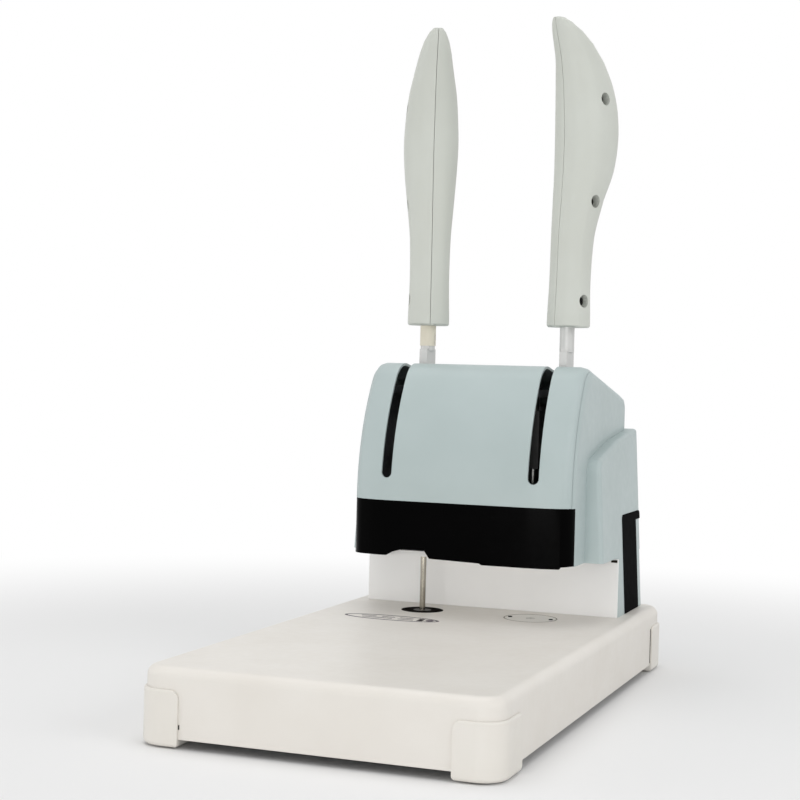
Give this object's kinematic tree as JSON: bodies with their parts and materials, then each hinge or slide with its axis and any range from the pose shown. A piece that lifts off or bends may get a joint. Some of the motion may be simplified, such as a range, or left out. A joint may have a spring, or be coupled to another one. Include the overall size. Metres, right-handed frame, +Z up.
{
  "type": "document riveting machine",
  "caption": "Desk machine that drills a paper bundle with the left lever and heat-presses a plastic rivet tube with the right lever.",
  "frame": {"origin": "on the desk, under the middle of the base, at the underside of the rubber pads", "axes": "+X to the operator's right, +Y from the operator to the back, +Z up"},
  "size_m": [0.274, 0.514, 0.585],
  "materials": {
    "table_white": "glossy moulded",
    "plate_steel": "satin",
    "screw_steel": "zinc",
    "foot_white": "glossy moulded",
    "pad_rubber": "matte",
    "turned_steel": "turned",
    "insert_white": "satin",
    "dark_screw": "dark zinc",
    "die_steel": "hardened",
    "fence_white": "satin",
    "head_pale": "satin moulded",
    "visor_black": "high gloss",
    "panel_black": "satin",
    "rear_pale": "satin",
    "inlet_black": "satin",
    "frame_paint": "satin",
    "shaft_steel": "ground",
    "rod_chrome": "polished",
    "gear_steel": "blackened",
    "arm_steel": "brushed",
    "lever_chrome": "polished",
    "sleeve_cream": "satin",
    "grip_grey": "satin moulded",
    "carriage_iron": "machined",
    "motor_can": "plated",
    "belt_rubber": "matte",
    "spindle_steel": "ground",
    "bit_steel": "polished",
    "heater_brass": "machined",
    "dial_black": "satin",
    "nylon_white": "matte",
    "spring_steel": "wire",
    "switch_black": "glossy"
  },
  "bodies": {
    "frame": {"base_shell": "table_white", "bottom_plate": "plate_steel", "base_screws": "screw_steel", "foot_front_left": "foot_white", "foot_front_right": "foot_white", "foot_rear_left": "foot_white", "foot_rear_right": "foot_white", "rubber_pads": "pad_rubber", "pad_post": "turned_steel", "die_post": "turned_steel", "die_plate": "insert_white", "die_plate_screws": "dark_screw", "lower_die": "die_steel", "fence": "fence_white", "housing": "head_pale", "front_cover": "head_pale", "visor": "visor_black", "side_panel_left": "panel_black", "side_panel_right": "panel_black", "rear_panel": "rear_pale", "rear_panel_screws": "screw_steel", "power_inlet": "inlet_black", "frame_plate_left": "frame_paint", "frame_plate_right": "frame_paint", "lower_plate": "frame_paint", "upper_plate": "frame_paint", "frame_bolts": "screw_steel", "lever_shaft": "shaft_steel", "shaft_rings": "dark_screw", "shaft_spacers": "shaft_steel", "guide_rods": "rod_chrome", "drill_spring": "spring_steel", "press_spring": "spring_steel"},
    "drill_lever": {"drill_sector": "gear_steel", "drill_arm": "arm_steel", "drill_rod": "lever_chrome", "drill_sleeve": "sleeve_cream", "drill_grip_outer": "grip_grey", "drill_grip_inner": "grip_grey", "drill_grip_screws": "dark_screw"},
    "press_lever": {"press_sector": "gear_steel", "press_arm": "arm_steel", "press_rod": "lever_chrome", "press_grip_outer": "grip_grey", "press_grip_inner": "grip_grey", "press_grip_screws": "dark_screw"},
    "drill_carriage": {"drill_carriage": "carriage_iron", "spindle_bearings": "shaft_steel", "drill_motor": "motor_can", "drive_belt": "belt_rubber"},
    "spindle": {"spindle": "spindle_steel", "spindle_pulley": "gear_steel"},
    "motor_rotor": {"motor_pulley": "gear_steel"},
    "drill_bit": {"drill_bit": "bit_steel"},
    "press_carriage": {"press_carriage": "carriage_iron", "press_ram": "turned_steel", "heater_block": "heater_brass"},
    "pad_dial": {"pad_dial": "dial_black", "cutting_pad": "nylon_white"},
    "power_switch": {"power_switch": "switch_black"}
  },
  "joints": [
    {"name": "drill_lever", "type": "hinge", "parent": "frame", "child": "drill_lever", "pos_m": [-0.066, 0.144, 0.189], "axis": [1, 0, 0], "range_deg": [0, 88]},
    {"name": "drill_feed", "type": "slide", "parent": "frame", "child": "drill_carriage", "axis": [0, 0, -1], "range_m": [0, 0.0538], "stiffness_N_per_m": 300, "springref_m": -0.16, "deforming": ["drill_spring"]},
    {"name": "spindle_spin", "type": "hinge", "parent": "drill_carriage", "child": "spindle", "pos_m": [-0.0504, 0.104, 0.2], "axis": [0, 0, 1], "continuous": true},
    {"name": "motor_spin", "type": "hinge", "parent": "drill_carriage", "child": "motor_rotor", "pos_m": [0, 0.104, 0.175], "axis": [0, 0, 1], "continuous": true},
    {"name": "bit_lift", "type": "slide", "parent": "frame", "child": "drill_bit", "axis": [0, 0, 1], "range_m": [0, 0.0537]},
    {"name": "press_lever", "type": "hinge", "parent": "frame", "child": "press_lever", "pos_m": [0.066, 0.144, 0.189], "axis": [1, 0, 0], "range_deg": [0, 88]},
    {"name": "press_feed", "type": "slide", "parent": "frame", "child": "press_carriage", "axis": [0, 0, -1], "range_m": [0, 0.0538], "stiffness_N_per_m": 300, "springref_m": -0.16, "deforming": ["press_spring"]},
    {"name": "dial_turn", "type": "hinge", "parent": "frame", "child": "pad_dial", "pos_m": [-0.0504, 0.104, 0.055], "axis": [0, 0, 1], "continuous": true},
    {"name": "power_rocker", "type": "hinge", "parent": "frame", "child": "power_switch", "pos_m": [-0.032, 0.237, 0.092], "axis": [1, 0, 0], "range_deg": [-16, 0]}
  ],
  "couplings": [
    {"joint": "drill_feed", "follows": "drill_lever", "m_per_rad": 0.035},
    {"joint": "press_feed", "follows": "press_lever", "m_per_rad": 0.035},
    {"joint": "motor_spin", "follows": "spindle_spin", "ratio": 1.5}
  ]
}
